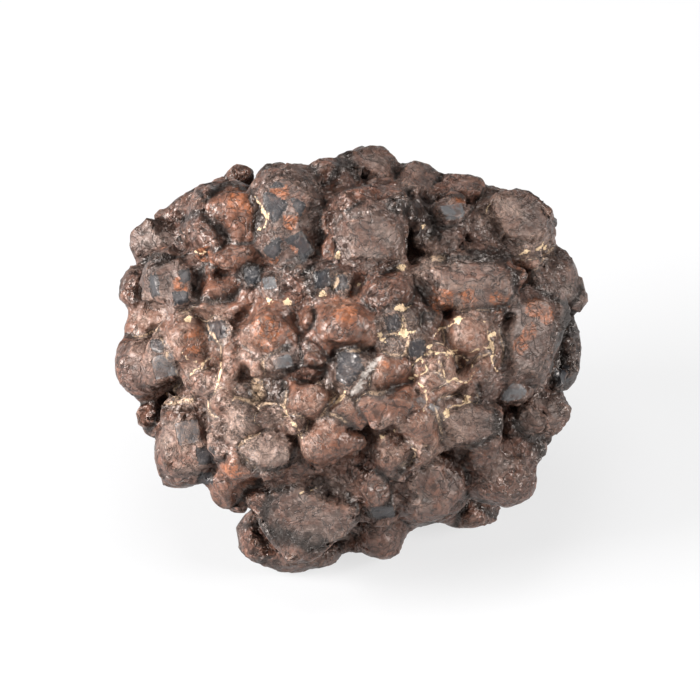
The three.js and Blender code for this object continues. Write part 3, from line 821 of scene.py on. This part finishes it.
class StoneLook(Nodes):
    """The stone's colour, roughness and bump, from noises and from the values painted on its mesh."""

    def __init__(self, material):
        super().__init__(material)
        self.place = self.new("ShaderNodeTexCoord").outputs["Object"]
        self.broad = self.noise(55, 4, 0.6, 0.5)
        self.patch = self.noise(130, 4, 0.6, 0.8)
        self.middle = self.noise(240, 3, 0.5, 1.0)
        self.streak = self.noise(600, 3, 0.5, 1.6)
        self.fine = self.noise(1500, 4, 0.6, 0.6)
        self.grain = self.noise(2600, 1, 0.5)
        self.crack = self.band(self.creases(300, 3, 1.2), 0.034, 0.004)
        self.fold = self.creases(420, 1, 1.3)
        self.flake, self.flake_tone = self.facets(520)
        self.chip, self.chip_tone = self.facets(1100)
        self.layer = self.math("FRACT", self.times(self.noise(170, 2, 0.5, 1.4), 5.0))
        self.strata = self.strata_noise()
        plain = self.most(self.times(self.painted("grey"), 0.3), self.times(self.painted("red"), 0.45))
        self.plain = self.minus(1.0, self.most(plain, self.times(self.painted("planed"), 0.75)))
        self.colour = None

    def creases(self, per_metre, detail, warp):
        """A value that falls to 0 along winding lines."""
        return self.math("ABSOLUTE", self.minus(self.noise(per_metre, detail, 0.5, warp), 0.5))

    def strata_noise(self):
        """A noise drawn out into thin leaning layers."""
        layers = self.new("ShaderNodeMapping")
        self.link(self.place, layers.inputs["Vector"])
        layers.inputs["Rotation"].default_value = (0.5, 0.35, 0)
        layers.inputs["Scale"].default_value = (1, 1, 6)
        return self.noise(260, 3, 0.55, 0.8, layers.outputs["Vector"])

    def tint(self, share, name):
        """Lays a share of a named colour over the colour so far."""
        self.colour = self.mix(share, self.colour, srgb(*COLOURS[name]))

    def lay_rock(self):
        """Brown rock, with its red, grey and dark knobs; the dark knobs' deeper tone is also painted shade
        of a deep furrow.
        """
        self.colour = srgb(*COLOURS["dark_brown"])
        self.tint(self.band(self.broad, 0.38, 0.62), "brown")
        self.tint(self.band(self.patch, 0.45, 0.6, 0, 0.7), "warm_brown")
        self.tint(self.band(self.streak, 0.48, 0.66, 0, 0.7), "streak")
        red = self.band(self.streak, 0.66, 0.4, 0.35, 1)
        self.tint(self.times(self.painted("red"), red), "red_knob")
        grey = self.times(self.painted("grey"), self.band(self.middle, 0.35, 0.6, 0.3, 0.9))
        self.tint(grey, "grey_knob")
        self.tint(self.times(grey, self.band(self.strata, 0.5, 0.64, 0, 0.45)), "strata")
        # Partly painted shade: the dark knobs are darkened to stand for the shade of a deep furrow.
        dark = self.band(self.middle, 0.3, 0.55, 0.7, 1.0)
        self.tint(self.times(self.painted("dark"), dark), "dark_knob_and_furrow_shade")
        pale = self.band(self.middle, 0.4, 0.62, 0.05, 0.5)
        self.tint(self.times(self.painted("pale"), pale), "pale_grey")
        stain = self.band(self.ragged(self.painted("orange"), self.middle, 2.2), 1.15, 0.8)
        self.tint(self.times(stain, self.band(self.streak, 0.62, 0.42, 0.15, 0.9)), "orange")

    def lay_wear(self):
        """Worn edges, flecks, layers with painted light on their steps, facets, and painted shade in folds,
        cracks, crevices and the seams between knobs.
        """
        worn = self.band(self.fine, 0.35, 0.65, 0.05, 0.55)
        self.tint(self.times(self.painted("ridge"), worn), "worn_edge")
        self.tint(self.times(self.plain, self.band(self.fine, 0.58, 0.7, 0, 0.35)), "light_fleck")
        self.tint(self.times(self.plain, self.band(self.fine, 0.44, 0.32, 0, 0.4)), "dark_fleck")
        # Lighter across each terrace step as the bump rises: partly the stone's banding, partly painted
        # light on the steps.
        self.tint(self.times(self.layer, 0.12), "layer")
        line = self.band(self.math("ABSOLUTE", self.minus(self.layer, 0.5)), 0.4, 0.48)
        self.tint(self.times(line, self.band(self.patch, 0.44, 0.6, 0.03, 0.4)), "layer_line_and_fold_shade")
        self.tint(self.band(self.flake_tone, 0.5, 0.0, 0, 0.3), "flake")
        self.tint(self.band(self.chip_tone, 0.45, 0.0, 0, 0.4), "chip")
        # Painted shade: the bump's fold valleys and crack grooves are darkened as if shade falls in them.
        self.tint(self.band(self.fold, 0.03, 0.0, 0, 0.35), "layer_line_and_fold_shade")
        self.tint(self.times(self.crack, 0.62), "crack")
        # Painted shade: crevices and the seams between knobs are darkened where shade would fall.
        gap = self.band(self.ragged(self.painted("seam"), self.fine, 0.8), 0.9, 0.1, 0, 0.9)
        self.tint(self.most(gap, self.painted("crease")), "crevice_shade")

    def lay_faces(self):
        """Crystal faces: near-black ones with darker borders, and grey ones."""
        self.dark_face = self.band(self.ragged(self.painted("dark_face"), self.fine, 7), 0.7, -0.7)
        self.tint(self.times(self.dark_face, self.band(self.streak, 0.7, 0.5, 0.45, 0.95)), "dark_face")
        border = self.band(self.painted("dark_face"), -3.5, -1.0, 0, 0.8)
        self.tint(self.times(self.dark_face, border), "face_border")
        self.pale_face = self.band(self.ragged(self.painted("pale_face"), self.fine, 4), 0.7, -0.7)
        self.tint(self.times(self.pale_face, self.band(self.streak, 0.66, 0.46, 0.25, 0.9)), "pale_face")

    def lay_deposits(self):
        """A web of dust, dusty seams, cream threads and blobs, and the white vein."""
        dusty = self.painted("dust")
        web = self.times(self.band(self.creases(700, 2, 1.5), 0.05, 0.0), 0.75)
        web = self.most(web, self.band(self.fine, 0.46, 0.66, 0.1, 0.45))
        haze = self.times(dusty, self.times(web, self.band(self.middle, 0.36, 0.58, 0.25, 1.0)))
        clear = self.most(self.times(self.dark_face, 0.8), self.times(self.painted("crease"), 0.7))
        self.haze = self.times(haze, self.minus(1.0, clear))
        self.tint(self.haze, "dust")
        seam = self.band(self.ragged(self.painted("seam"), self.fine, 0.3), 0.22, 0.06)
        seam = self.times(seam, self.times(dusty, self.band(self.fine, 0.42, 0.52, 0.1, 0.85)))
        self.tint(seam, "dust_seam")
        thread = self.band(self.ragged(self.painted("thread"), self.fine, 3.2), 1.25, 0.5)
        blob = self.band(self.ragged(self.painted("cream"), self.fine, 3.0), 0.95, 0.7)
        self.cream = self.most(self.times(thread, 0.9), blob)
        self.tint(self.cream, "cream")
        vein = self.band(self.ragged(self.painted("vein"), self.streak, 14), 4.5, 0.5, 0, 0.8)
        self.tint(vein, "white_vein")

    def roughness(self):
        """Satin rock, with matt deposits and crevices and glossier crystal faces."""
        soft = self.most(self.cream, self.most(self.haze, self.painted("crease")))
        rough = self.plus(self.band(soft, 0, 1, 0, 0.35), self.band(self.streak, 0.35, 0.65, 0.33, 0.46))
        rough = self.plus(rough, self.times(self.painted("planed"), 0.12))
        return self.minus(rough, self.times(self.most(self.dark_face, self.pale_face), 0.05))

    def bump_normal(self):
        """Facets, folds, strata and cracks too fine for the mesh, weaker on red knobs and crystal faces."""
        height = self.plus(self.times(self.middle, 0.4), self.times(self.fold, 0.2))
        facets = self.plus(self.times(self.flake, 0.72), self.times(self.chip, 0.46))
        height = self.plus(height, self.times(self.plain, facets))
        height = self.minus(height, self.times(self.strata, self.times(self.painted("grey"), 0.35)))
        height = self.plus(height, self.plus(self.times(self.grain, 0.04), self.times(self.layer, 0.16)))
        height = self.minus(height, self.times(self.crack, 0.13))
        faces = self.times(self.most(self.dark_face, self.pale_face), 0.7)
        flat = self.minus(1.0, self.most(self.times(self.painted("red"), 0.4), faces))
        bump = self.new("ShaderNodeBump")
        bump.inputs["Strength"].default_value = 1.0
        bump.inputs["Distance"].default_value = BUMP_HEIGHT
        self.link(self.times(height, flat), bump.inputs["Height"])
        return bump.outputs["Normal"]


def stone_material():
    material = bpy.data.materials.new("iron_oxide")
    look = StoneLook(material)
    look.lay_rock()
    look.lay_wear()
    look.lay_faces()
    look.lay_deposits()
    shader = look.new("ShaderNodeBsdfPrincipled")
    look.link(look.colour, shader.inputs["Base Color"])
    look.link(look.roughness(), shader.inputs["Roughness"])
    look.link(look.bump_normal(), shader.inputs["Normal"])
    shader.inputs["Specular IOR Level"].default_value = 0.62
    shader.inputs["Specular Tint"].default_value = (1, 0.9, 0.84, 1)
    out = look.new("ShaderNodeOutputMaterial")
    look.link(shader.outputs["BSDF"], out.inputs["Surface"])
    return material


def floor_material():
    material = bpy.data.materials.new("floor")
    n = Nodes(material)
    shader = n.new("ShaderNodeBsdfPrincipled")
    shader.inputs["Base Color"].default_value = (0.15, 0.15, 0.152, 1)
    shader.inputs["Emission Color"].default_value = (1, 1, 1, 1)
    shader.inputs["Emission Strength"].default_value = FLOOR_GLOW
    shader.inputs["Roughness"].default_value = 0.7
    shader.inputs["Specular IOR Level"].default_value = 0.2
    out = n.new("ShaderNodeOutputMaterial")
    n.link(shader.outputs["BSDF"], out.inputs["Surface"])
    return material


def make_stone():
    noise.seed_set(SEED)
    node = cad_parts["stone"]
    view = View(np.array([corner.co for corner in node.data.vertices]))
    view.make_camera()
    coarse = remeshed(node.data.copy(), COARSE_VOXEL)
    surface = Surface(coarse)
    rounded(surface)
    raise_lumps(surface, view)
    surface.write(coarse)
    mesh = remeshed(coarse, FINE_VOXEL)
    mesh.name = "stone_surface"
    surface = Surface(mesh)
    roughen(surface, Lumps(surface, view), view.facing(surface))
    for faces, lift_mm, share in PLANING:
        plane_faces(surface, view, faces, lift_mm, share)
    round_beads(surface, view)
    surface.place = (1 - SMOOTHING) * surface.place + SMOOTHING * surface.near_mean(surface.place)
    surface.place[:, 2] = np.maximum(surface.place[:, 2], 0)
    surface.write(mesh)
    paint_marks(mesh, surface, view)
    mesh.materials.clear()
    mesh.materials.append(stone_material())
    mesh.polygons.foreach_set("use_smooth", np.ones(len(mesh.polygons), bool))
    stone = bpy.data.objects.new("stone_surface", mesh)
    bpy.context.scene.collection.objects.link(stone)
    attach(stone, "root")
    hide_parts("stone")


def make_floor():
    mesh = bpy.data.meshes.new("floor")
    half = FLOOR_HALF
    corners = [(-half, -half, 0), (half, -half, 0), (half, half, 0), (-half, half, 0)]
    mesh.from_pydata(corners, [], [(0, 1, 2, 3)])
    mesh.materials.append(floor_material())
    floor = bpy.data.objects.new("floor", mesh)
    bpy.context.scene.collection.objects.link(floor)


def area_light(name, place, size, watts):
    data = bpy.data.lights.new(name, "AREA")
    data.shape = "RECTANGLE"
    data.size, data.size_y = size
    data.energy = watts
    light = bpy.data.objects.new(name, data)
    light.location = place
    light.rotation_euler = (Vector(LIGHT_TARGET) - Vector(place)).to_track_quat("-Z", "Y").to_euler()
    bpy.context.scene.collection.objects.link(light)


def make_light():
    world = bpy.data.worlds.new("studio")
    bpy.context.scene.world = world
    world.use_nodes = True
    back = world.node_tree.nodes["Background"]
    back.inputs["Color"].default_value = (1, 1, 1, 1)
    back.inputs["Strength"].default_value = WORLD_STRENGTH
    for name, (place, size, watts) in SOFTBOXES.items():
        area_light(name, place, size, watts)
    bpy.context.scene.view_settings.view_transform = "Standard"


make_stone()
make_floor()
make_light()
